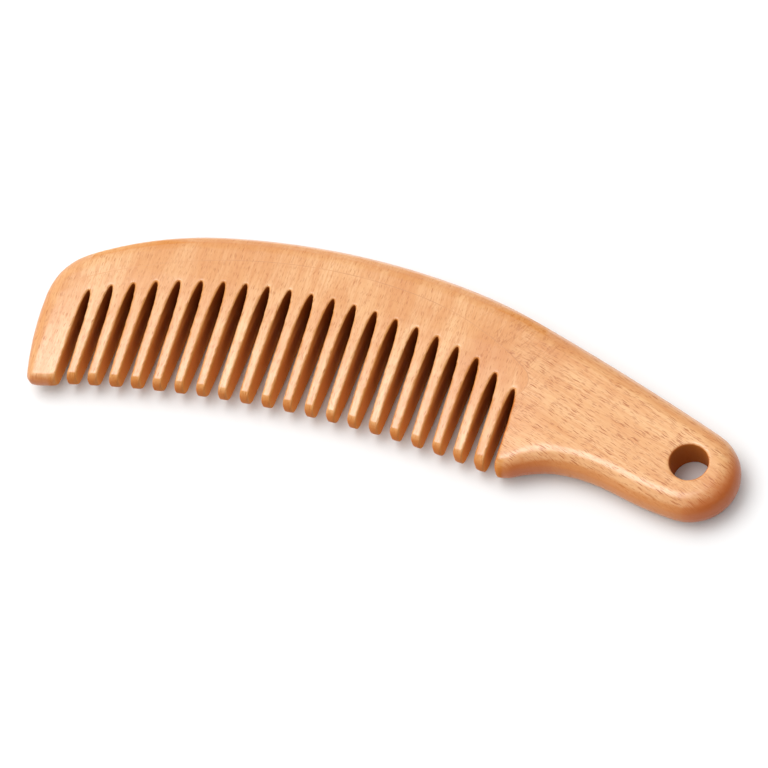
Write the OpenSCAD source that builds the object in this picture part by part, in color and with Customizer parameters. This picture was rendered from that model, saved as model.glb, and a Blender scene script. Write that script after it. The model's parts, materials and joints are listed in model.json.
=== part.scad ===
// Wooden beard comb: a toothed blade glued into a back that runs on into the handle.
// Millimetres. X runs along the comb towards the handle, Y from the tooth tips to the back, Z up.
// The plan is laid out from the axis of the hanging hole. At the end everything moves so that the
// origin is under the middle of the comb, on the face it lies on.

/* [Thickness] */
// Thickness of the back and of the handle
body_t = 9.4; // [8.4:0.1:10.4]
// Thickness of the teeth at their tips
tip_t = 4.7; // [3.6:0.1:6]
// Width of the rounded edges at the tooth tips, seen from above, as a share of the thickness there
edge_share = 0.36; // [0.24:0.02:0.4]
// Width of the softer rounding round the back and the handle, as a share of the thickness there
shoulder_share = 0.7; // [0.5:0.05:0.8]

/* [Teeth] */
// Number of slots sawn between the first and the last slot, both included
slot_count = 21; // [15:1:23]
// Width of a slot where its pointed end has opened out
slot_w = 2.75; // [2.2:0.05:3]
// Lean of each slot wall in degrees, which opens the slots further towards the tips
slot_lean = 0.7; // [0:0.1:1]
// Length over which a slot narrows to its pointed end
slot_arch = 12; // [4:1:14]
// Lean of the outermost slots in degrees, by which the row closes up towards the tips
slot_fan = 0.9; // [0:0.1:1.2]
// Corner rounding of the tooth tips seen from above
tip_r = 0.7; // [0.3:0.1:0.8]

/* [Hanging hole] */
// Diameter of the hole in the handle's end
hole_d = 9; // [6:0.5:10]

/* [Glued joint] */
// Thickness of the tongue along the blade's upper edge
tongue_t = 3; // [2:0.2:4]
// Height of the tongue, into the back
tongue_h = 3.4; // [2:0.2:4]
// Thickness of the glue film between blade and back
glue_t = 0.15; // [0.1:0.05:0.3]

/* [Hidden] */
$fn = 96;

// ---- Paths made of arcs: each entry is [radius, turn in degrees], and a turn to the left is positive ----

// Longest chord and largest turn of one step along an arc
step_len = 4;
step_turn = 13;

function arc_steps(arc) = max(2, ceil(abs(arc[1]) * PI / 180 * arc[0] / step_len), ceil(abs(arc[1]) / step_turn));

// Point reached after turning by "turned" degrees on an arc that starts at p with that heading
function arc_point(p, heading, arc, turned) =
    let (side = sign(arc[1]) * arc[0])
    p + side * [sin(heading + turned) - sin(heading), cos(heading) - cos(heading + turned)];

// All points after p along a run of arcs
function walk(p, heading, run, k = 0) =
    k == len(run) ? [] :
    let (n = arc_steps(run[k]), turn = run[k][1])
    concat(
        [for (j = [1:n]) arc_point(p, heading, run[k], turn * j / n)],
        walk(arc_point(p, heading, run[k], turn), heading + turn, run, k + 1));

// The same run, moved outwards by d where the solid lies on the right of the path
function grown(run, d) = [for (arc = run) [arc[0] - sign(arc[1]) * d, arc[1]]];

function reversed(list) = [for (i = [len(list) - 1:-1:0]) list[i]];
function last(list) = list[len(list) - 1];
function total(list) = list * [for (v = list) 1];
function clamp01(v) = max(0, min(1, v));
function smooth01(v) = let (c = clamp01(v)) c * c * (3 - 2 * c);
function column(list, c) = [for (v = list) v[c]];

// ---- Outline of the whole comb ----

// Leftmost point, on the outer side of the guard tooth
left_point = [-164.4, 7.5];

// From the leftmost point up round the shoulder, along the arched back and round the handle's end
back_turns = [[79, -1], [15, -57.1], [85, -22.1], [185, -19.7], [124, -8.6], [830, -3.7]];
handle_end_r = 11.7;
back_turned = -total(column(back_turns, 1));
back_run = concat(back_turns, [[handle_end_r, back_turned - 180]]);
back_line = concat([left_point], walk(left_point, 90, back_run));
right_point = last(back_line);

// From the rightmost point on round the end and back along the underside to the horn beside the last slot
under_run = [[11.5, -95.7], [77.5, -11.2], [46, 15.2], [23, 34.1], [4, -32.4]];
under_line = concat([right_point], walk(right_point, -90, under_run));

// From the leftmost point down the guard tooth, round its corner and along its blunt end
guard_run = [[79, 15.2], [2, 86.5], [290, -1]];
guard_line = walk(left_point, -90, guard_run);

// Arch on which the tooth tips lie, and the arch of the slots' pointed ends
tip_arch = [-96.3, -7.2, 291.7];
root_arch = [-99.9, 21.7, 139];

// Height at x of an arch given as [x of its crown, y of its crown, radius]
function arch_y(arch, x) = arch[1] - arch[2] + sqrt(pow(arch[2], 2) - pow(x - arch[0], 2));

// ---- Slots ----

// Middles of the first and the last slot at the height where the fan doesn't move them
first_slot_x = -153.1;
last_slot_x = -45.4;
fan_level = 2;
// The slots next to the guard tooth stand closer together: how much in all, and over what share of the row
crowding = 1.36;
crowded_share = 0.125;
// The first slot is narrower, and each one after it gains a little until they are all alike
first_slot_share = 0.85;
share_gain = 0.03;
last_slot_share = 0.88;
// The first slot and the last two end lower than the arch of the others
first_slot_drop = 0.5;
last_slot_drop = 1.6;
// Rounding of the guard tooth's inner corner and of the horn's point
guard_r = 1.2;
horn_r = 1.3;

function along_row(k) = k / (slot_count - 1);
function slot_x(k) =
    let (u = along_row(k))
    first_slot_x + (last_slot_x - first_slot_x + crowding) * u - crowding * (1 - exp(-u / crowded_share));
function slot_top(k) =
    let (last_share = max(0, (k - slot_count + 3) / 2))
    arch_y(root_arch, slot_x(k)) - last_slot_drop * last_share - (k == 0 ? first_slot_drop : 0);
function slot_share(k) = k == slot_count - 1 ? last_slot_share : min(1, first_slot_share + k * share_gain);

// Half width of a slot at the depth below its pointed end, for a slot of the width w
function slot_half(w, depth) =
    let (rise = clamp01(depth / slot_arch))
    w / 2 * sqrt(1 - pow(1 - rise, 2)) + max(0, depth - slot_arch) * tan(slot_lean);

// One wall of an upright slot of the width w at x = 0, from its pointed end down to its mouth, where it
// flares round the corner radius r
arch_steps = 9;
flare_steps = 4;
below_mouth = 6;
function slot_wall(w, top, mouth, r, side) =
    let (corner = slot_half(w, top - mouth - r))
    concat(
        [for (j = [0:arch_steps]) let (depth = slot_arch * pow(j / arch_steps, 2))
            [side * slot_half(w, depth), top - depth]],
        [for (j = [0:flare_steps]) let (a = 90 * j / flare_steps)
            [side * (corner + r * (1 - cos(a))), mouth + r * (1 - sin(a))]],
        [[side * (corner + r), mouth - below_mouth]]);

module slot(k) {
    x = slot_x(k);
    tip_y = arch_y(tip_arch, x);
    is_first = k == 0;
    is_last = k == slot_count - 1;
    left_mouth = is_first ? last(guard_line)[1] : tip_y;
    right_mouth = is_last ? last(under_line)[1] : tip_y;
    w = slot_w * slot_share(k);
    left_wall = slot_wall(w, slot_top(k), left_mouth, is_first ? guard_r : tip_r, -1);
    right_wall = slot_wall(w, slot_top(k), right_mouth, is_last ? horn_r : tip_r, 1);
    wall_points = concat(left_wall, [for (i = [len(right_wall) - 1:-1:1]) right_wall[i]]);
    fan_slope = tan(slot_fan * (2 * along_row(k) - 1));
    polygon([for (p = wall_points) [x + p[0] + fan_slope * (p[1] - fan_level), p[1]]]);
}

module slots() {
    linear_extrude(height = 2 * body_t, center = true)
        for (k = [0:slot_count - 1])
            slot(k);
}

// ---- Rounded body of the whole comb, before it is divided ----

// The tips' arch and the underside meet inside the last slot, where nothing is left of them
tip_line = [for (x = [first_slot_x : step_len : last_slot_x - 1]) [x, arch_y(tip_arch, x)]];
front_line = concat([left_point], guard_line, tip_line,
    [[last_slot_x - 0.01, arch_y(tip_arch, last_slot_x)]],
    [for (p = reversed(under_line)) if (p[0] > last_slot_x) p]);
outline = concat(back_line, [for (i = [len(front_line) - 2:-1:1]) front_line[i]]);

function segment_distance(p, a, b) =
    let (ab = b - a, share = clamp01((p - a) * ab / (ab * ab)))
    norm(p - a - share * ab);
function edge_distance(p) =
    min([for (i = [0:len(outline) - 1]) segment_distance(p, outline[i], outline[(i + 1) % len(outline)])]);

// Line of the joint between blade and back, from outside the guard tooth to the wall of the last slot
joint_start = [-165.7, 7.15];
joint_heading = 33.8;
joint_main = [[126.7, -42.6], [73, -27]];
joint_nose = [4.2, -128];
joint_line = concat([joint_start], walk(joint_start, joint_heading, joint_main));

// The blade thins towards the tips in a soft curve that starts level above the slots. The thinning dies
// out beside the last slot.
thin_from_y = 26;
thin_end_x = -57;
thin_fade = 28;
function thinning(p) =
    let (tip_y = arch_y(tip_arch, min(p[0], last_slot_x)))
    let (down = clamp01((thin_from_y - p[1]) / (thin_from_y - tip_y)))
    pow(down, 2) * (1 - smooth01((p[0] - thin_end_x) / thin_fade));

// The body is made this much too thick on each face, and the flat faces are then cut on it
trim = 0.1;
function half_thickness(p) =
    let (thin = thinning(p))
    (body_t / 2 + trim) * (1 - thin) + tip_t / 2 * thin;
function edge_width(p) =
    let (thin = thinning(p))
    2 * half_thickness(p) * (shoulder_share * (1 - thin) + edge_share * thin);
// A quarter ellipse at the tips, with a flatter shoulder where the body is thick
function surface_z(p) =
    let (inwards = clamp01(edge_distance(p) / edge_width(p)))
    half_thickness(p) * sqrt(1 - pow(1 - inwards, 3 - thinning(p)));

// Stations along X: close together at both ends, even between them
end_len = 12;
end_steps = 11;
station_gap = 2.4;
function even(a, b) = let (n = ceil((b - a) / station_gap)) [for (i = [0:n - 1]) a + (b - a) * i / n];
stations = concat(
    [for (i = [1:end_steps - 1]) left_point[0] + end_len * (1 - cos(90 * i / end_steps))],
    even(left_point[0] + end_len, last_slot_x),
    even(last_slot_x, right_point[0] - end_len),
    [for (i = [end_steps:-1:1]) right_point[0] - end_len * (1 - cos(90 * i / end_steps))]);

// Points across the comb at a station: close together in each rounded edge, the rest spread evenly
edge_angles = [0, 20, 40, 58, 73, 83, 90];
inner_spans = 6;
function across(x) =
    let (front = lookup(x, front_line), back = lookup(x, back_line), width = back - front)
    let (w_front = min(edge_width([x, front]), 0.4 * width), w_back = min(edge_width([x, back]), 0.4 * width))
    let (low = front + w_front, high = back - w_back)
    concat(
        [for (a = edge_angles) [x, front + w_front * (1 - cos(a))]],
        [for (i = [1:inner_spans - 1]) [x, low + (high - low) * i / inner_spans]],
        [for (a = reversed(edge_angles)) [x, back - w_back * (1 - cos(a))]]);

// One closed ring of the body's surface: over the top from front to back, and back underneath
function ring(x) =
    let (row = across(x), top = [for (p = row) [p[0], p[1], surface_z(p)]], m = len(row) - 1)
    concat(
        [[row[0][0], row[0][1], 0]],
        [for (i = [1:m - 1]) top[i]],
        [[row[m][0], row[m][1], 0]],
        [for (i = [m - 1:-1:1]) [top[i][0], top[i][1], -top[i][2]]]);

module rounded_body() {
    rings = [for (x = stations) ring(x)];
    size = len(rings[0]);
    count = len(rings);
    left_tip = count * size;
    right_tip = left_tip + 1;
    points = concat([for (r = rings) each r],
        [[left_point[0], left_point[1], 0], [right_point[0], right_point[1], 0]]);
    sides = [for (i = [0:count - 2], j = [0:size - 1])
        let (a = i * size + j, b = i * size + (j + 1) % size)
        each [[a, a + size, b], [b, a + size, b + size]]];
    left_cap = [for (j = [0:size - 1]) [left_tip, j, (j + 1) % size]];
    right_cap = [for (j = [0:size - 1])
        [right_tip, (count - 1) * size + (j + 1) % size, (count - 1) * size + j]];
    polyhedron(points = points, faces = concat(sides, left_cap, right_cap));
}

// Body with its two flat faces
module comb_body() {
    intersection() {
        rounded_body();
        translate([-200, -50, -body_t / 2])
            cube([250, 120, body_t]);
    }
}

// ---- Glued joint ----

// The joint line from outside the guard tooth to the wall of the last slot, moved outwards by gap
clear = 20;
function joint_path(gap) =
    let (start = joint_start + gap * [-sin(joint_heading), cos(joint_heading)])
    concat([start], walk(start, joint_heading, grown(concat(joint_main, [joint_nose]), gap)));

// Everything on the blade's side of the joint
module blade_side(gap) {
    line = joint_path(gap);
    linear_extrude(height = 2 * body_t, center = true)
        polygon(concat(line, [
            [last_slot_x, last(line)[1]],
            [last_slot_x, -clear],
            [joint_start[0] - clear, -clear],
            [joint_start[0] - clear, line[0][1]]]));
}

// Tongue along the joint, rooted below the joint line. It stops short of both ends and stays hidden.
tongue_from_x = -150;
tongue_to_x = -54;
module tongue(gap, root_depth) {
    start = joint_start + (tongue_h + gap) * [-sin(joint_heading), cos(joint_heading)];
    line = concat([start], walk(start, joint_heading, grown(joint_main, tongue_h + gap)));
    from = tongue_from_x - gap;
    to = tongue_to_x + gap;
    upper = [for (p = line) if (p[0] > from && p[0] < to) p];
    lower = [for (p = joint_line) if (p[0] > from && p[0] < to) p];
    root = concat([[from, lookup(from, joint_line)]], lower, [[to, lookup(to, joint_line)]]);
    linear_extrude(height = tongue_t + 2 * gap, center = true)
        polygon(concat(
            [[from, lookup(from, line)]],
            upper,
            [[to, lookup(to, line)]],
            [for (p = reversed(root)) p - [0, root_depth]]));
}

module blade_space(gap) {
    blade_side(gap);
    tongue(gap, 1);
}

module hanging_hole() {
    cylinder(h = 2 * body_t, d = hole_d, center = true);
}

// Moves the comb from the hole's axis to the origin under its middle
low_y = min(column(front_line, 1));
high_y = max(column(back_line, 1));
module place() {
    translate([-(left_point[0] + right_point[0]) / 2, -(low_y + high_y) / 2, body_t / 2])
        children();
}

// ---- Pieces ----

// Blade with the guard tooth and the narrow teeth, its grain along the teeth
module toothed_blade() {
    color([0.86, 0.62, 0.38])
        place()
            difference() {
                intersection() {
                    comb_body();
                    blade_space(0);
                }
                slots();
            }
}

// Arched back and handle in one piece, its grain along the comb
module back_and_handle() {
    color([0.82, 0.56, 0.32])
        place()
            difference() {
                comb_body();
                blade_space(glue_t);
                slots();
                hanging_hole();
            }
}

// Film of glue between the two, over the shoulders and round the tongue
module glue_line() {
    color([0.55, 0.33, 0.16])
        place()
            difference() {
                intersection() {
                    comb_body();
                    union() {
                        linear_extrude(height = 2 * body_t, center = true)
                            polygon(concat(joint_path(0), reversed(joint_path(glue_t))));
                        tongue(glue_t, 0);
                    }
                }
                tongue(0, 1);
                slots();
            }
}

toothed_blade();
back_and_handle();
glue_line();
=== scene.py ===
"""A wooden beard comb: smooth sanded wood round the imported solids, on a pale studio floor."""

import json
import math

import bmesh
import bpy
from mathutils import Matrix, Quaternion, Vector


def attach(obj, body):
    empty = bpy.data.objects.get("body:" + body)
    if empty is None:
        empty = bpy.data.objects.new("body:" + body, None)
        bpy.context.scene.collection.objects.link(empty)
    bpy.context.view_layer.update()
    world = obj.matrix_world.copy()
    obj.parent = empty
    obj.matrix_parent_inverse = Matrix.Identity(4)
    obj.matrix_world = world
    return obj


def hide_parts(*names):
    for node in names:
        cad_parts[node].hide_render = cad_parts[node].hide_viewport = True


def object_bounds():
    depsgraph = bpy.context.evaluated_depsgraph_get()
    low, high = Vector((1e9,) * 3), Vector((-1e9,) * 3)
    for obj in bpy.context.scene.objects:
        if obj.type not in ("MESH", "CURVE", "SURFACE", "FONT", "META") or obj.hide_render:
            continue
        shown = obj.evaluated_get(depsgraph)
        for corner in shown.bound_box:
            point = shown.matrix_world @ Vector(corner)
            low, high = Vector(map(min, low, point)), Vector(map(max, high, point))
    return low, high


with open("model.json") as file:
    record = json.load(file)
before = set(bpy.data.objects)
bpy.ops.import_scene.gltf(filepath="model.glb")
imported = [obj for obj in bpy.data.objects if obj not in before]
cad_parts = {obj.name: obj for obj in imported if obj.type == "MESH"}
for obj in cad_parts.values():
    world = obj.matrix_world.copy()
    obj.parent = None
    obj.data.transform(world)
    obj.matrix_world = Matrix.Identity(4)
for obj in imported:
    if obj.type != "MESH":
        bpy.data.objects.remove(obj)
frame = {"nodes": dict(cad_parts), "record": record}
cad_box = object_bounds()

MM = 0.001
BLADE, BACK, GLUE = "toothed_blade", "back_and_handle", "glue_line"
scene = bpy.context.scene

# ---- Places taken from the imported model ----

low, high = cad_box
hole = next(m for m in frame["record"]["mounts"] if m["name"] == "hanging_hole")
hole_x, hole_y, mid_z = hole["pos_m"]
top_z = high.z


def from_hole(x, y, z=0.0):
    """A point given in millimetres from the hanging hole's axis and the comb's middle plane."""
    return Vector((hole_x + x * MM, hole_y + y * MM, mid_z + z * MM))


# ---- The joint between blade and back, in millimetres from the hole's axis ----

JOINT_START = (-165.7, 7.15)
JOINT_HEADING = 33.8
# Arcs as (radius, turn in degrees); a turn to the right is negative
JOINT_MAIN = ((126.7, -42.6), (73.0, -27.0))
JOINT_NOSE = (4.2, -128.0)
GLUE_THICKNESS = 0.15
LAST_SLOT_X = -45.4
TONGUE_THICKNESS = 3.0
TONGUE_HEIGHT = 3.4
TONGUE_X = (-150.0, -54.0)
# How far the tongue's root reaches into the blade
TONGUE_ROOT = 1.0
# How far the cutting shapes reach past the comb
CLEAR = 20.0
CUTTER_HALF_HEIGHT = 60.0
ARC_STEP = 0.4
LEAST_ARC_STEPS = 4


def arc_points(start, heading, arcs, outwards=0.0):
    """Points along a run of arcs, moved to the left of the way by outwards."""
    angle = math.radians(heading)
    x = start[0] - outwards * math.sin(angle)
    y = start[1] + outwards * math.cos(angle)
    points = [(x, y)]
    for radius, turn in arcs:
        radius -= math.copysign(outwards, turn)
        steps = max(LEAST_ARC_STEPS, math.ceil(abs(math.radians(turn)) * radius / ARC_STEP))
        step = math.radians(turn) / steps
        side = math.copysign(radius, turn)
        for _ in range(steps):
            x += side * (math.sin(angle + step) - math.sin(angle))
            y += side * (math.cos(angle) - math.cos(angle + step))
            angle += step
            points.append((x, y))
    return points


def joint_path(gap):
    """The joint's whole course, moved towards the back by gap."""
    return arc_points(JOINT_START, JOINT_HEADING, JOINT_MAIN + (JOINT_NOSE,), gap)


def blade_side(gap):
    """Outline of everything on the blade's side of the joint."""
    line = joint_path(gap)
    far_x = JOINT_START[0] - CLEAR
    return line + [(LAST_SLOT_X, line[-1][1]), (LAST_SLOT_X, -CLEAR), (far_x, -CLEAR), (far_x, line[0][1])]


def tongue_outline(gap):
    """Outline of the hidden tongue, from inside the blade to its top in the back."""
    inside = [(x, y - TONGUE_ROOT) for x, y in arc_points(JOINT_START, JOINT_HEADING, JOINT_MAIN)]
    upper = arc_points(JOINT_START, JOINT_HEADING, JOINT_MAIN, TONGUE_HEIGHT + gap)
    root = [p for p in inside if TONGUE_X[0] - gap < p[0] < TONGUE_X[1] + gap]
    top = [p for p in upper if TONGUE_X[0] - gap < p[0] < TONGUE_X[1] + gap]
    return top + root[::-1]


# ---- Mesh helpers ----


def new_object(name, data):
    """Adds a mesh, light or camera to the scene."""
    obj = bpy.data.objects.new(name, data)
    scene.collection.objects.link(obj)
    return obj


def prism(name, outline, half_height):
    """A closed prism over an outline in millimetres, centred on the comb's middle plane."""
    bm = bmesh.new()
    face = bm.faces.new([bm.verts.new(from_hole(x, y, -half_height)) for x, y in outline])
    grown = bmesh.ops.extrude_face_region(bm, geom=[face])
    moved = [v for v in grown["geom"] if isinstance(v, bmesh.types.BMVert)]
    bmesh.ops.translate(bm, verts=moved, vec=(0, 0, 2 * half_height * MM))
    bmesh.ops.recalc_face_normals(bm, faces=bm.faces)
    mesh = bpy.data.meshes.new(name)
    bm.to_mesh(mesh)
    bm.free()
    return new_object(name, mesh)


def apply_modifiers(obj):
    """Replaces an object's mesh by what its modifiers make of it."""
    evaluated = obj.evaluated_get(bpy.context.evaluated_depsgraph_get())
    mesh = bpy.data.meshes.new_from_object(evaluated)
    obj.modifiers.clear()
    obj.data = mesh


def cut(obj, other, operation):
    """Joins, cuts or intersects a closed mesh with another."""
    boolean = obj.modifiers.new("cut", "BOOLEAN")
    boolean.operation = operation
    boolean.solver = "MANIFOLD"
    boolean.object = other
    apply_modifiers(obj)


def remove(*objects):
    for obj in objects:
        bpy.data.objects.remove(obj)


# ---- Sanded body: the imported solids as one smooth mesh, with every sawn edge softened ----

VOXEL = 0.24 * MM
# Passes over everything, then over the handle alone, which ends at this place in millimetres from the hole
SANDING_PASSES = 12
HANDLE_PASSES = 16
HANDLE_FROM_X = -48.0
SANDING_STRENGTH = 0.5


def sand(obj, passes, group=""):
    """Rounds every edge of a mesh, or only those in a vertex group."""
    smooth = obj.modifiers.new("smooth", "SMOOTH")
    smooth.factor = SANDING_STRENGTH
    smooth.iterations = passes
    smooth.vertex_group = group
    apply_modifiers(obj)


def sanded_body():
    """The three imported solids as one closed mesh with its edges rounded."""
    bm = bmesh.new()
    for node in (BLADE, BACK, GLUE):
        bm.from_mesh(frame["nodes"][node].data)
    mesh = bpy.data.meshes.new("sanded")
    bm.to_mesh(mesh)
    bm.free()
    body = new_object("sanded", mesh)
    remesh = body.modifiers.new("remesh", "REMESH")
    remesh.mode = "VOXEL"
    remesh.voxel_size = VOXEL
    sand(body, SANDING_PASSES)
    handle = body.vertex_groups.new(name="handle")
    edge_x = from_hole(HANDLE_FROM_X, 0).x
    handle.add([v.index for v in body.data.vertices if v.co.x > edge_x], 1.0, "REPLACE")
    sand(body, HANDLE_PASSES, handle.name)
    return body


MOST_TRIANGLES = 170_000
SHARP_ANGLE = math.radians(50)


def finish_piece(obj, node, material):
    """Thins the mesh to a sensible size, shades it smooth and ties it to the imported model."""
    obj.data.calc_loop_triangles()
    triangles = len(obj.data.loop_triangles)
    if triangles > MOST_TRIANGLES:
        thin = obj.modifiers.new("thin", "DECIMATE")
        thin.ratio = MOST_TRIANGLES / triangles
        apply_modifiers(obj)
    obj.data.shade_smooth()
    obj.data.set_sharp_from_angle(angle=SHARP_ANGLE)
    obj.data.materials.clear()
    obj.data.materials.append(material)
    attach(obj, "root")
    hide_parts(node)


# ---- Wood ----


class Nodes:
    """A few short ways to add and link shader nodes in one material."""

    def __init__(self, name):
        self.material = bpy.data.materials.new(name)
        self.material.use_nodes = True
        self.tree = self.material.node_tree
        self.tree.nodes.clear()

    def add(self, kind, inputs=None, **settings):
        node = self.tree.nodes.new(kind)
        for key, value in settings.items():
            setattr(node, key, value)
        for key, value in (inputs or {}).items():
            if isinstance(value, bpy.types.NodeSocket):
                self.tree.links.new(value, node.inputs[key])
            else:
                node.inputs[key].default_value = value
        return node

    def math(self, operation, a, b=0.0):
        return self.add("ShaderNodeMath", {0: a, 1: b}, operation=operation).outputs[0]

    def times(self, first, *others):
        for other in others:
            first = self.math("MULTIPLY", first, other)
        return first

    def scaled(self, value, factor, offset):
        inputs = {0: value, 1: factor, 2: offset}
        return self.add("ShaderNodeMath", inputs, operation="MULTIPLY_ADD").outputs[0]

    def ramp(self, value, low_at, high_at, low_to=0.0, high_to=1.0):
        """A smooth step of value from low_to at low_at to high_to at high_at."""
        inputs = {"Value": value, 1: low_at, 2: high_at, 3: low_to, 4: high_to}
        return self.add("ShaderNodeMapRange", inputs, interpolation_type="SMOOTHSTEP").outputs[0]

    def vector(self, operation, a, b):
        return self.add("ShaderNodeVectorMath", {0: a, 1: b}, operation=operation).outputs[0]

    def dot(self, a, b):
        return self.add("ShaderNodeVectorMath", {0: a, 1: b}, operation="DOT_PRODUCT").outputs["Value"]

    def length(self, a):
        return self.add("ShaderNodeVectorMath", {0: a}, operation="LENGTH").outputs["Value"]

    def split(self, vector):
        return list(self.add("ShaderNodeSeparateXYZ", {"Vector": vector}).outputs)

    def noise(self, vector, scale=1.0, detail=2.0, roughness=0.5, distortion=0.0):
        inputs = {
            "Vector": vector, "Scale": scale, "Detail": detail,
            "Roughness": roughness, "Distortion": distortion,
        }
        return self.add("ShaderNodeTexNoise", inputs).outputs[0]

    def mix(self, factor, a, b):
        return self.add("ShaderNodeMix", {"Factor": factor, 6: a, 7: b}, data_type="RGBA").outputs[2]

    def mix_values(self, factor, a, b):
        return self.add("ShaderNodeMix", {0: factor, 2: a, 3: b}, data_type="FLOAT").outputs[0]

    def bump(self, height, strength, distance):
        inputs = {"Height": height, "Strength": strength, "Distance": distance}
        return self.add("ShaderNodeBump", inputs).outputs[0]

    def finish(self, inputs):
        """Ends the material in a Principled shader with these inputs."""
        shader = self.add("ShaderNodeBsdfPrincipled", inputs)
        self.add("ShaderNodeOutputMaterial", {"Surface": shader.outputs[0]})
        return self.material


# Linear colours
HONEY = (0.530, 0.238, 0.076, 1)
PALE_HONEY = (0.610, 0.342, 0.152, 1)
RED_HONEY = (0.460, 0.165, 0.040, 1)
FLECK_BROWN = (0.305, 0.080, 0.010, 1)
# Painted shade colour for the rounded edges
SHADED_EDGE_HONEY = (0.480, 0.158, 0.030, 1)
END_GRAIN = (0.380, 0.085, 0.010, 1)
SAWN_BROWN = (0.670, 0.250, 0.054, 1)
# Painted shade colour for the slots' and the hole's walls
SHADED_SAWN_BROWN = (0.260, 0.056, 0.005, 1)
GLUE_BROWN = (0.370, 0.138, 0.038, 1)
# Painted reflection colour for the back's edge
PAINTED_BACK_REFLECTION = (0.630, 0.325, 0.180, 1)

# Line of the grain in degrees from +X, and which part of the pattern shows, for each part of the comb
HEAD_ANGLE = 90.0
HEAD_SHIFT = (3.0, 7.0, 1.0)
HANDLE_ANGLE = -21.0
HANDLE_SHIFT = (11.0, 5.0, 2.0)
# The turn of the grain crosses the comb on a wavering line that leans from the back down to the horn.
# Its places are in millimetres along X at the comb's middle, before the wavering moves them towards -X
TURN = (28.0, 44.0)
NEAR_TURN_FROM = (18.0, 34.0)
NEAR_TURN_TO = (56.0, 40.0)
TURN_LEAN = -0.55
TURN_WAVER = 26.0
WAVER_NOISE = (0.12, 3.0)
# The slots lie between these, in millimetres along X, with a soft limit of this width
SLOTS_FROM_X = -79.5
SLOTS_TO_X = 33.5
SLOTS_SOFT = 1.0
# The arch the slots' closed ends follow: its highest point and radius, in millimetres from the hole's axis
ROOT_ARCH_X = -99.9
ROOT_ARCH_Y = 21.7
ROOT_ARCH_R = 139.0
# From the hanging hole towards the handle's rounded end
END_WAY = (0.80, -0.60, 0)
# The hanging hole's radius, in metres
HOLE_R = hole["dims"]["r_mm"] * MM
# How strongly walls that face the tooth tips, and so towards -Y, show end grain
FRONT_END_GRAIN = -0.55

# Smooth steps, each as (from, to), which gives 0 to 1, or as (from, to, result at from, result at to).
# Where the tone makes pale wood deeper, and how much of that the handle loses
DEEPER_TONE = (0.34, 0.64)
HANDLE_PALER = -0.25
# Deeper patches on the horn and beyond the guard tooth, in millimetres along X and Y
HORN_X = (56.0, 44.0)
HORN_Y = (-3.0, -11.0, 0.0, 0.30)
WARM_FROM_X = (-75.0, -66.0, 0.0, 0.35)
WARM_TO_X = (-32.0, -48.0)
# Reddish clouds, clouds at the turn, and streaks
MOTTLE_NOISE = (0.085, 3.0, 0.6, 0.8)
MOTTLE = (0.48, 0.76, 0.0, 0.35)
TURN_MOTTLE = (0.30, 0.62, 0.05, 0.45)
STREAKS = (0.40, 0.72, 0.0, 0.60)
# Flecks show most where the grain lies in the surface, and less in the head
MARKS_FACING = (0.2, 0.8, 0.60, 1.0)
MARKS_HEAD = 0.65
MARKS_HANDLE_MORE = 0.35
# How dark and how deep pores, small flecks and large flecks are
MARK_SHADES = (0.30, 0.75, 0.95)
MARK_DEPTHS = (0.20, 0.40, 0.60)
# Brown strokes at the turn, across both grains
STROKE_ANGLE = 62.0
STROKE_SHIFT = (5.0, 1.0, 3.0)
STROKE_SIZE = (2.6, 0.55)
STROKE_NOISE = (1.0, 2.0, 0.6, 0.8)
STROKES = (0.52, 0.66)
STROKE_SHADE = 0.50
# Speckles on the handle's rounded edges
SPECKLE_NOISE = (1.9, 2.0, 0.6)
SPECKLES = (0.54, 0.70)
SPECKLE_FACING = (0.93, 0.70)
SPECKLE_SHADE = 0.45
# Painted shade on rounded edges, by how far they tilt from level and how far they face from the back
EDGE_SHADE_FACING = (0.97, 0.45)
EDGE_SHADE_AWAY = (0.5, 0.0)
EDGE_SHADE_HEAD = 0.40
EDGE_SHADE_HANDLE_MORE = 0.45
# The back's edge by how far it faces backwards: a deeper line, then a painted pale reflection
BACK_LINE_FROM = (0.14, 0.30, 0.0, 0.40)
BACK_LINE_TO = (0.58, 0.40)
BACK_REFLECTION = (0.50, 0.75, 0.0, 0.55)
# End grain, and its patches past the hanging hole by distance and by tone
END_SHADE = (0.15, 0.80, 0.0, 0.95)
PAST_HOLE = (4.0 * MM, 12.5 * MM, 0.0, 0.70)
PAST_HOLE_TONE = (0.36, 0.60, 0.55, 1.0)
# The hanging hole's wall
HOLE_NEAR = (HOLE_R + 0.8 * MM, HOLE_R + 0.1 * MM)
HOLE_FACING = (0.7, 0.2)
# Share of painted shade on the hole's wall
HOLE_WALL_SHADE = 0.7
# The slots' side walls, then their closed ends
SLOT_SIDE_FACING = (0.82, 0.99)
SLOT_END_LEVEL = (0.60, 0.25)
SLOT_END_AWAY = (0.35, 0.10)
SLOT_END_Y = (-12.0, -7.0)
# Painted shade in the slots: darkest near the arch of the closed ends and half way through the wood, in
# millimetres
BELOW_ARCH = (15.0, 3.0)
MIDDLE_DEPTH = (3.4, 0.8, 0.0, 0.9)
MIDDLE_BELOW_ARCH = (23.0, 9.0)
SAWN_SHADE = 0.9
# The slots' rims are sanded but hold no polish
RIM_LEVEL = (0.985, 0.93)
RIM_Y = (19.0, 17.0)
# Roughness, fine relief and polish
ROUGHNESS = 0.28
STREAK_ROUGHNESS = 0.14
FLECK_ROUGHNESS = 0.15
SAWN_ROUGHNESS = 0.22
STREAK_DEPTH = 0.35
RELIEF_STRENGTH = 0.35
RELIEF = 0.06 * MM
SPECULAR = 0.36
SPECULAR_LOST = 0.33
WOOD_IOR = 1.47
COAT = 0.20
COAT_ROUGHNESS = 0.22


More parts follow.
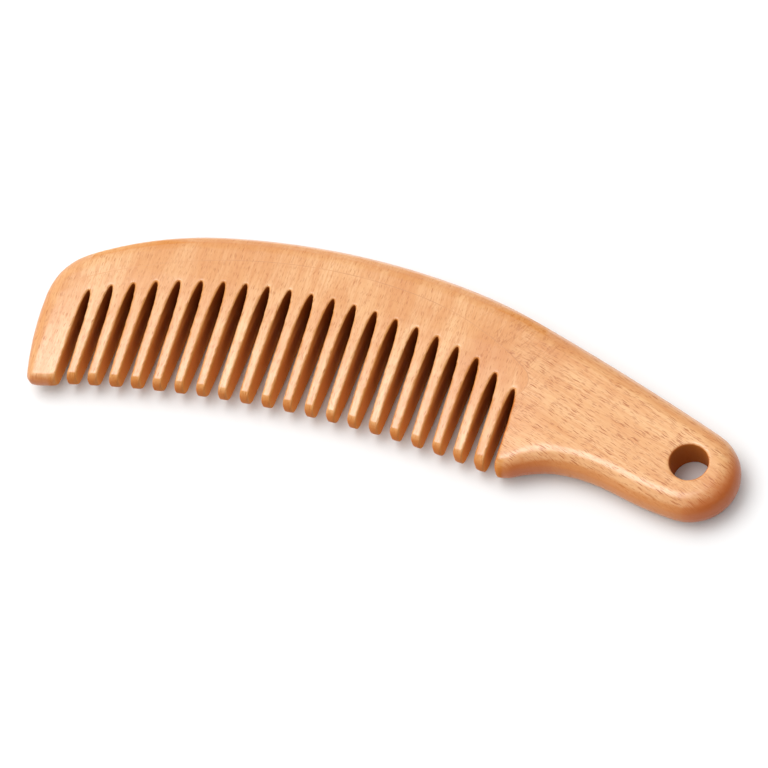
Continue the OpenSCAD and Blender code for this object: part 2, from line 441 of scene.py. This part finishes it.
class Figure:
    """What the grain shows in one part of the comb: (along, across) in millimetres for each feature.

    wave_gain is how much of the tone is the fine waves, and share how many of the cells hold a large fleck.
    """

    def __init__(self, tone, wave, streak, large, small, pore, wave_gain, share):
        self.tone, self.wave, self.streak = tone, wave, streak
        self.large, self.small, self.pore = large, small, pore
        self.wave_gain = wave_gain
        self.share = share


HEAD_FIGURE = Figure(
    tone=(30.0, 8.0), wave=(40.0, 2.2), streak=(4.5, 0.50),
    large=(2.4, 0.42), small=(1.5, 0.32), pore=(1.6, 0.30),
    wave_gain=0.35, share=0.32,
)
HANDLE_FIGURE = Figure(
    tone=(42.0, 9.0), wave=(60.0, 2.0), streak=(9.0, 0.60),
    large=(4.2, 0.41), small=(2.4, 0.31), pore=(2.2, 0.30),
    wave_gain=0.50, share=0.50,
)
# Noise as (scale, detail, roughness, distortion)
TONE_NOISE = (1.0, 3.0, 0.55, 0.4)
WAVE_NOISE = (1.0, 2.0, 0.5)
STREAK_NOISE = (1.0, 3.0, 0.6)
PORE_NOISE = (1.0, 1.0, 0.5)
PORES = (0.58, 0.74)
# How far a fleck reaches in its cell, and how many more small ones there are
LARGE_REACH = 0.34
SMALL_REACH = 0.33
SMALL_SHARE = 1.2
BEND_NOISE = (0.35, 2.0)
BEND = 0.9
FLECK_EDGE = (1.0, 0.55)
# Sizes of flecks as parts of their reach, and strengths: the least, and how much chance adds
LEAST_SIZE, MORE_SIZE = 0.5, 0.6
LEAST_STRENGTH, MORE_STRENGTH = 0.4, 0.6


class Skin:
    """Where a point of the surface lies and which way it faces."""

    def __init__(self, n):
        here = n.add("ShaderNodeTexCoord")
        self.metres = here.outputs["Object"]
        self.normal = here.outputs["Normal"]
        self.position = n.vector("MULTIPLY", self.metres, (1 / MM,) * 3)
        self.x, self.y, self.z = n.split(self.position)
        normal_x, self.backwards, normal_z = n.split(self.normal)
        self.sideways = n.math("ABSOLUTE", normal_x)
        self.level = n.math("ABSOLUTE", normal_z)


def grain_space(n, position, angle, shift):
    """Position in millimetres with X along the grain: position turned by -angle degrees."""
    turned = n.add(
        "ShaderNodeVectorRotate",
        {"Vector": position, "Axis": (0, 0, 1), "Angle": math.radians(-angle)},
        rotation_type="AXIS_ANGLE",
    ).outputs[0]
    return n.vector("ADD", turned, shift)


def stretched(n, space, sizes):
    """The space divided by a feature's length along the grain and its width across it."""
    along, across = sizes
    return n.vector("MULTIPLY", space, (1 / along, 1 / across, 1 / across))


def flecks(n, space, sizes, share, reach):
    """Short dark dashes along the grain, one in some of the cells of a pattern.

    The pattern is the same at all heights.
    """
    wobble = n.noise(space, *BEND_NOISE)
    bend = n.add("ShaderNodeCombineXYZ", {"Y": n.times(wobble, BEND)}).outputs[0]
    bent = n.vector("ADD", space, bend)
    cells = n.add(
        "ShaderNodeTexVoronoi",
        {"Vector": stretched(n, bent, sizes), "Scale": 1.0, "Randomness": 1.0},
        voronoi_dimensions="2D",
    )
    chance = n.add("ShaderNodeSeparateColor", {"Color": cells.outputs["Color"]})
    there = n.math("LESS_THAN", chance.outputs[0], share)
    size = n.scaled(chance.outputs[1], MORE_SIZE * reach, LEAST_SIZE * reach)
    dash = n.ramp(n.math("DIVIDE", cells.outputs["Distance"], size), *FLECK_EDGE)
    strength = n.scaled(chance.outputs[2], MORE_STRENGTH, LEAST_STRENGTH)
    return n.times(dash, there, strength)


def grain(n, position, angle, shift, figure):
    """One board's grain: [tone, streaks, pores, small flecks, large flecks], each from 0 to 1."""
    space = grain_space(n, position, angle, shift)
    tone = n.noise(stretched(n, space, figure.tone), *TONE_NOISE)
    wave = n.noise(stretched(n, space, figure.wave), *WAVE_NOISE)
    tone = n.math("ADD", n.times(tone, 1 - figure.wave_gain), n.times(wave, figure.wave_gain))
    streaks = n.noise(stretched(n, space, figure.streak), *STREAK_NOISE)
    large = flecks(n, space, figure.large, figure.share, LARGE_REACH)
    small = flecks(n, space, figure.small, SMALL_SHARE * figure.share, SMALL_REACH)
    pores = n.ramp(n.noise(stretched(n, space, figure.pore), *PORE_NOISE), *PORES)
    return [tone, streaks, pores, small, large]


def ground(n, skin, tone, streaks, turn, near_turn):
    """Colour of the wood before any flecks."""
    deeper = n.times(n.ramp(tone, *DEEPER_TONE), n.scaled(turn, HANDLE_PALER, 1.0))
    horn = n.times(n.ramp(skin.x, *HORN_X), n.ramp(skin.y, *HORN_Y), turn)
    warm = n.times(n.ramp(skin.x, *WARM_FROM_X), n.ramp(skin.x, *WARM_TO_X))
    deeper = n.math("ADD", n.math("ADD", deeper, horn), warm)
    colour = n.mix(deeper, PALE_HONEY, HONEY)
    mottle = n.noise(skin.position, *MOTTLE_NOISE)
    colour = n.mix(n.ramp(mottle, *MOTTLE), colour, RED_HONEY)
    colour = n.mix(n.times(near_turn, n.ramp(mottle, *TURN_MOTTLE)), colour, RED_HONEY)
    return n.mix(n.ramp(streaks, *STREAKS), colour, RED_HONEY)


def turn_marks(n, skin, colour, turn, near_turn):
    """Adds the strokes where the grain turns and the speckles on the handle's rounded edges."""
    space = grain_space(n, skin.position, STROKE_ANGLE, STROKE_SHIFT)
    strokes = n.ramp(n.noise(stretched(n, space, STROKE_SIZE), *STROKE_NOISE), *STROKES)
    colour = n.mix(n.times(strokes, near_turn, STROKE_SHADE), colour, FLECK_BROWN)
    speckles = n.ramp(n.noise(skin.position, *SPECKLE_NOISE), *SPECKLES)
    speckles = n.times(speckles, n.ramp(skin.level, *SPECKLE_FACING), turn, SPECKLE_SHADE)
    return n.mix(speckles, colour, FLECK_BROWN)


def edge_shade_and_reflection(n, skin, colour, turn):
    """Adds painted shade on the rounded edges, and on the back's edge a painted pale reflection with a
    deeper line inside it.
    """
    # Painted shade: rounded edges that do not face the back are darkened
    edge_shade = n.times(n.ramp(skin.level, *EDGE_SHADE_FACING), n.ramp(skin.backwards, *EDGE_SHADE_AWAY))
    colour = n.mix(n.times(edge_shade, n.scaled(turn, EDGE_SHADE_HANDLE_MORE, EDGE_SHADE_HEAD)), colour, SHADED_EDGE_HONEY)
    line = n.times(n.ramp(skin.backwards, *BACK_LINE_FROM), n.ramp(skin.backwards, *BACK_LINE_TO))
    colour = n.mix(line, colour, RED_HONEY)
    # Painted reflection: the edge that faces backwards is painted pale
    return n.mix(n.ramp(skin.backwards, *BACK_REFLECTION), colour, PAINTED_BACK_REFLECTION)


def between_slots(n, skin):
    """1 from the first slot to the last, 0 elsewhere."""
    half = SLOTS_SOFT / 2
    start = n.ramp(skin.x, SLOTS_FROM_X - half, SLOTS_FROM_X + half)
    return n.times(start, n.ramp(skin.x, SLOTS_TO_X + SLOTS_SOFT, SLOTS_TO_X))


def hole_wall(n, skin, to_hole):
    """1 on the hanging hole's wall, 0 elsewhere."""
    off_axis = n.length(n.vector("MULTIPLY", to_hole, (1, 1, 0)))
    return n.times(n.ramp(off_axis, *HOLE_NEAR), n.ramp(skin.level, *HOLE_FACING))


def sawn_walls(n, skin, in_slots, in_hole):
    """(sawn, recess_shade): where the wood was sawn or drilled, and how much painted shade darkens it there.
    """
    sides = n.times(n.ramp(skin.sideways, *SLOT_SIDE_FACING), in_slots)
    ends = n.times(n.ramp(skin.level, *SLOT_END_LEVEL), n.ramp(skin.backwards, *SLOT_END_AWAY))
    ends = n.times(ends, in_slots, n.ramp(skin.y, *SLOT_END_Y))
    sawn = n.math("MAXIMUM", n.math("MAXIMUM", sides, in_hole), ends)
    from_middle = n.math("ABSOLUTE", n.math("SUBTRACT", skin.z, mid_z / MM))
    aside = n.math("SUBTRACT", skin.x, hole_x / MM + ROOT_ARCH_X)
    fall = n.times(aside, aside, 0.5 / ROOT_ARCH_R)
    below = n.scaled(n.math("ADD", skin.y, fall), -1.0, hole_y / MM + ROOT_ARCH_Y)
    # Painted shade: darkest near the slots' closed ends and half way through the wood
    middle_shade = n.times(n.ramp(from_middle, *MIDDLE_DEPTH), n.ramp(below, *MIDDLE_BELOW_ARCH))
    recess_shade = n.math("MAXIMUM", n.ramp(below, *BELOW_ARCH), middle_shade)
    return sawn, n.mix_values(in_hole, recess_shade, HOLE_WALL_SHADE)


def wood(name, turns):
    """Oiled beech. The grain runs along the teeth, and where turns is true it turns to the handle's line."""
    n = Nodes(name)
    skin = Skin(n)
    waver = n.times(n.noise(skin.position, *WAVER_NOISE), TURN_WAVER)
    across = n.math("ADD", n.math("ADD", skin.x, n.times(skin.y, TURN_LEAN)), waver)
    near_turn = n.times(n.ramp(across, *NEAR_TURN_FROM), n.ramp(across, *NEAR_TURN_TO))
    parts = grain(n, skin.position, HEAD_ANGLE, HEAD_SHIFT, HEAD_FIGURE)
    end = n.times(skin.backwards, FRONT_END_GRAIN)
    turn = 0.0
    if turns:
        turn = n.ramp(across, *TURN)
        handle = grain(n, skin.position, HANDLE_ANGLE, HANDLE_SHIFT, HANDLE_FIGURE)
        parts = [n.mix_values(turn, a, b) for a, b in zip(parts, handle)]
        along = (math.cos(math.radians(HANDLE_ANGLE)), math.sin(math.radians(HANDLE_ANGLE)), 0)
        end = n.mix_values(turn, end, n.math("ABSOLUTE", n.dot(skin.normal, along)))
    tone, streaks, *marks = parts

    colour = ground(n, skin, tone, streaks, turn, near_turn)
    shown = n.ramp(skin.level, *MARKS_FACING)
    shown = n.times(shown, n.scaled(turn, MARKS_HANDLE_MORE, MARKS_HEAD))
    for mark, shade in zip(marks, MARK_SHADES):
        colour = n.mix(n.times(mark, shown, shade), colour, FLECK_BROWN)
    if turns:
        colour = turn_marks(n, skin, colour, turn, near_turn)
    colour = edge_shade_and_reflection(n, skin, colour, turn)

    # Where the grain runs out of the surface the oil soaks in and darkens it
    colour = n.mix(n.ramp(end, *END_SHADE), colour, END_GRAIN)
    to_hole = n.vector("SUBTRACT", skin.metres, (hole_x, hole_y, 0))
    past_hole = n.ramp(n.dot(to_hole, END_WAY), *PAST_HOLE)
    colour = n.mix(n.times(past_hole, n.ramp(tone, *PAST_HOLE_TONE)), colour, END_GRAIN)

    # Sawn and drilled walls are browner, and painted shade deepens them near the slots' closed ends, half
    # way through the wood and on the hole's wall
    in_slots = between_slots(n, skin)
    in_hole = hole_wall(n, skin, to_hole)
    sawn, recess_shade = sawn_walls(n, skin, in_slots, in_hole)
    colour = n.mix(n.times(sawn, SAWN_SHADE), colour, n.mix(recess_shade, SAWN_BROWN, SHADED_SAWN_BROWN))

    rough = n.scaled(streaks, STREAK_ROUGHNESS, ROUGHNESS)
    rough = n.math("ADD", rough, n.times(marks[-1], FLECK_ROUGHNESS))
    rough = n.math("ADD", rough, n.times(sawn, SAWN_ROUGHNESS))
    height = n.times(streaks, STREAK_DEPTH)
    for mark, deep in zip(marks, MARK_DEPTHS):
        height = n.math("SUBTRACT", height, n.times(mark, deep))
    rim = n.times(n.ramp(skin.level, *RIM_LEVEL), in_slots, n.ramp(skin.y, *RIM_Y))
    dull = n.math("MAXIMUM", sawn, rim)
    return n.finish({
        "Base Color": colour, "Roughness": rough,
        "Normal": n.bump(height, RELIEF_STRENGTH, RELIEF),
        "Specular IOR Level": n.scaled(dull, -SPECULAR_LOST, SPECULAR), "IOR": WOOD_IOR,
        "Coat Weight": n.scaled(dull, -COAT, COAT), "Coat Roughness": COAT_ROUGHNESS,
    })


# ---- Glue ----

# Patches of the glue line's colour and roughness, and how it fades towards the guard tooth along X
PATCH_NOISE = (0.12, 4.0, 0.6)
PATCH_SHADE = (0.35, 0.65, 0.35, 1.0)
PATCH_ROUGHNESS = (0.3, 0.7, 0.35, 0.5)
FADE_X = (-72.0, -30.0, 0.3, 1.0)
GLUE_RELIEF_STRENGTH = 0.2
GLUE_RELIEF = 0.05 * MM


def dried_glue():
    """The thin brown line where the glue squeezed out and was sanded flush."""
    n = Nodes("dried_glue")
    skin = Skin(n)
    patchy = n.noise(skin.position, *PATCH_NOISE)
    shade = n.times(n.ramp(patchy, *PATCH_SHADE), n.ramp(skin.x, *FADE_X))
    return n.finish({
        "Base Color": n.mix(shade, HONEY, GLUE_BROWN),
        "Roughness": n.ramp(patchy, *PATCH_ROUGHNESS),
        "Normal": n.bump(patchy, GLUE_RELIEF_STRENGTH, GLUE_RELIEF),
    })


def build_comb():
    """Cuts the sanded body into blade, back and glue film along the joint."""
    body = sanded_body()
    blade_cutter = prism("blade_cutter", blade_side(0.0), CUTTER_HALF_HEIGHT)
    tongue_cutter = prism("tongue_cutter", tongue_outline(0.0), TONGUE_THICKNESS / 2)
    space_cutter = prism("space_cutter", blade_side(GLUE_THICKNESS), CUTTER_HALF_HEIGHT)
    groove_half = TONGUE_THICKNESS / 2 + GLUE_THICKNESS
    groove_cutter = prism("groove_cutter", tongue_outline(GLUE_THICKNESS), groove_half)
    cut(blade_cutter, tongue_cutter, "UNION")
    cut(space_cutter, groove_cutter, "UNION")

    blade = new_object("comb_blade", body.data.copy())
    cut(blade, blade_cutter, "INTERSECT")
    back = new_object("comb_back_and_handle", body.data.copy())
    cut(back, space_cutter, "DIFFERENCE")
    film = new_object("comb_glue_line", body.data.copy())
    cut(space_cutter, blade_cutter, "DIFFERENCE")
    cut(film, space_cutter, "INTERSECT")
    remove(body, blade_cutter, tongue_cutter, space_cutter, groove_cutter)

    finish_piece(blade, BLADE, wood("beech_blade", turns=False))
    finish_piece(back, BACK, wood("beech_back", turns=True))
    finish_piece(film, GLUE, dried_glue())


# ---- Studio ----

FLOOR_HALF = 3.0
FLOOR_GAP = 0.02 * MM
FLOOR_WHITE = (0.72, 0.72, 0.72, 1)
FLOOR_ROUGHNESS = 0.9
FLOOR_SPECULAR = 0.1
# A pale room: strength by how far one looks towards its brighter side, at this azimuth and elevation
ROOM_BRIGHT_SIDE = (245, 25)
ROOM_STRENGTH = (-0.7, 0.9, 0.34, 1.48)


def direction(azimuth, elevation):
    """Unit vector towards something seen at that azimuth and elevation: 0 is in front, 90 on the right."""
    a, e = math.radians(azimuth), math.radians(elevation)
    return Vector((math.sin(a) * math.cos(e), -math.cos(a) * math.cos(e), math.sin(e)))


def look_back(obj, way):
    """Turns an object to look against a direction."""
    obj.rotation_mode = "QUATERNION"
    obj.rotation_quaternion = (-way).to_track_quat("-Z", "Y")


def floor():
    bm = bmesh.new()
    bmesh.ops.create_grid(bm, x_segments=2, y_segments=2, size=FLOOR_HALF)
    mesh = bpy.data.meshes.new("studio_floor")
    bm.to_mesh(mesh)
    bm.free()
    obj = new_object("studio_floor", mesh)
    obj.location.z = low.z - FLOOR_GAP
    paper = Nodes("white_paper").finish({
        "Base Color": FLOOR_WHITE, "Roughness": FLOOR_ROUGHNESS,
        "Specular IOR Level": FLOOR_SPECULAR,
    })
    mesh.materials.append(paper)


def room():
    world = bpy.data.worlds.new("studio")
    scene.world = world
    world.use_nodes = True
    tree = world.node_tree
    background = tree.nodes["Background"]
    background.inputs["Color"].default_value = (1, 1, 1, 1)
    here = tree.nodes.new("ShaderNodeTexCoord")
    towards = tree.nodes.new("ShaderNodeVectorMath")
    towards.operation = "DOT_PRODUCT"
    towards.inputs[1].default_value = direction(*ROOM_BRIGHT_SIDE)
    strength = tree.nodes.new("ShaderNodeMapRange")
    for socket, value in enumerate(ROOM_STRENGTH, 1):
        strength.inputs[socket].default_value = value
    tree.links.new(here.outputs["Generated"], towards.inputs[0])
    tree.links.new(towards.outputs["Value"], strength.inputs["Value"])
    tree.links.new(strength.outputs["Result"], background.inputs["Strength"])


def softbox(name, azimuth, elevation, distance, size, power, diffuse=True, gloss=True):
    """A rectangular light that lights matt surfaces, shows in glossy ones, or both."""
    data = bpy.data.lights.new(name, "AREA")
    data.shape = "RECTANGLE"
    data.size, data.size_y = size
    data.energy = power
    obj = new_object(name, data)
    obj.visible_diffuse = diffuse
    obj.visible_glossy = gloss
    way = direction(azimuth, elevation)
    obj.location = way * distance
    look_back(obj, way)


def studio():
    floor()
    room()
    # The key light is split: a large one for soft shadows, a smaller one for the sheen on the wood
    softbox(
        "key_sheen", azimuth=256, elevation=71.5, distance=2.0,
        size=(0.66, 0.66), power=23.5, diffuse=False,
    )
    softbox(
        "key", azimuth=252, elevation=66, distance=2.0,
        size=(1.5, 1.5), power=23.5, gloss=False,
    )
    softbox("fill", azimuth=333, elevation=53, distance=1.3, size=(1.2, 0.7), power=2.5)
    scene.view_settings.view_transform = "Standard"
    scene.view_settings.look = "None"


# ---- Camera, at the photograph's viewing angle ----

VIEW_AZIMUTH = 35.86
VIEW_ELEVATION = 60.44
VIEW_ROLL = -19.83
VIEW_DISTANCE = 1.166
# Where it looks, in millimetres from the hole's axis and the middle plane
VIEW_AIM = (-75.40, 2.73, 4.7)
LENS = 234.375
SENSOR = 36
CLIP = (0.05, 20)


def camera():
    data = bpy.data.cameras.new("camera")
    data.lens = LENS
    data.sensor_width = SENSOR
    data.clip_start, data.clip_end = CLIP
    obj = new_object("camera", data)
    way = direction(VIEW_AZIMUTH, VIEW_ELEVATION)
    obj.location = from_hole(*VIEW_AIM) + way * VIEW_DISTANCE
    look_back(obj, way)
    obj.rotation_quaternion = obj.rotation_quaternion @ Quaternion((0, 0, 1), math.radians(VIEW_ROLL))
    scene.camera = obj


build_comb()
studio()
camera()
